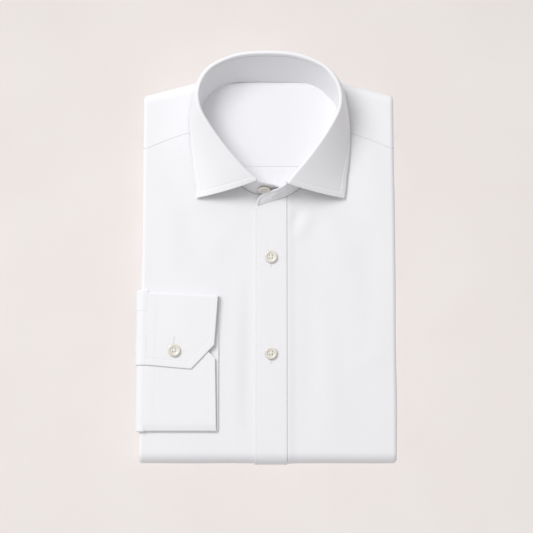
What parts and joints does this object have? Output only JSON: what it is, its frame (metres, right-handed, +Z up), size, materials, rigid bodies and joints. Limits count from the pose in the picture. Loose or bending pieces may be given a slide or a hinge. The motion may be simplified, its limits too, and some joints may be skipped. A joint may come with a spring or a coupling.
{
  "type": "folded dress shirt",
  "caption": "Folded cotton dress shirt lying face up, with a standing semi-spread collar, a front placket and one buttoned cuff folded round to the front.",
  "frame": {"origin": "middle of the flat underside, level with the surface it lies on", "axes": "+Y from the bottom fold towards the collar, +X towards the wearer's left side (the right of the picture), +Z up out of the shirt's front"},
  "size_m": [0.255, 0.4004, 0.0541],
  "materials": {
    "cotton": "plain-woven white cotton, matt",
    "interlined_cotton": "white cotton stiffened with interlining, matt",
    "button": "pearly off-white, polished"
  },
  "bodies": {
    "root": {"folded_layers": "cotton", "back": "cotton", "yoke_inner": "cotton", "yoke": "cotton", "front_right": "cotton", "front_left": "cotton", "placket": "cotton", "collar_stand": "interlined_cotton", "collar_leaf": "interlined_cotton", "sleeve": "cotton", "sleeve_placket": "cotton", "cuff": "interlined_cotton", "button_front_1": "button", "button_front_2": "button", "button_cuff": "button", "button_collar": "button"}
  },
  "joints": []
}
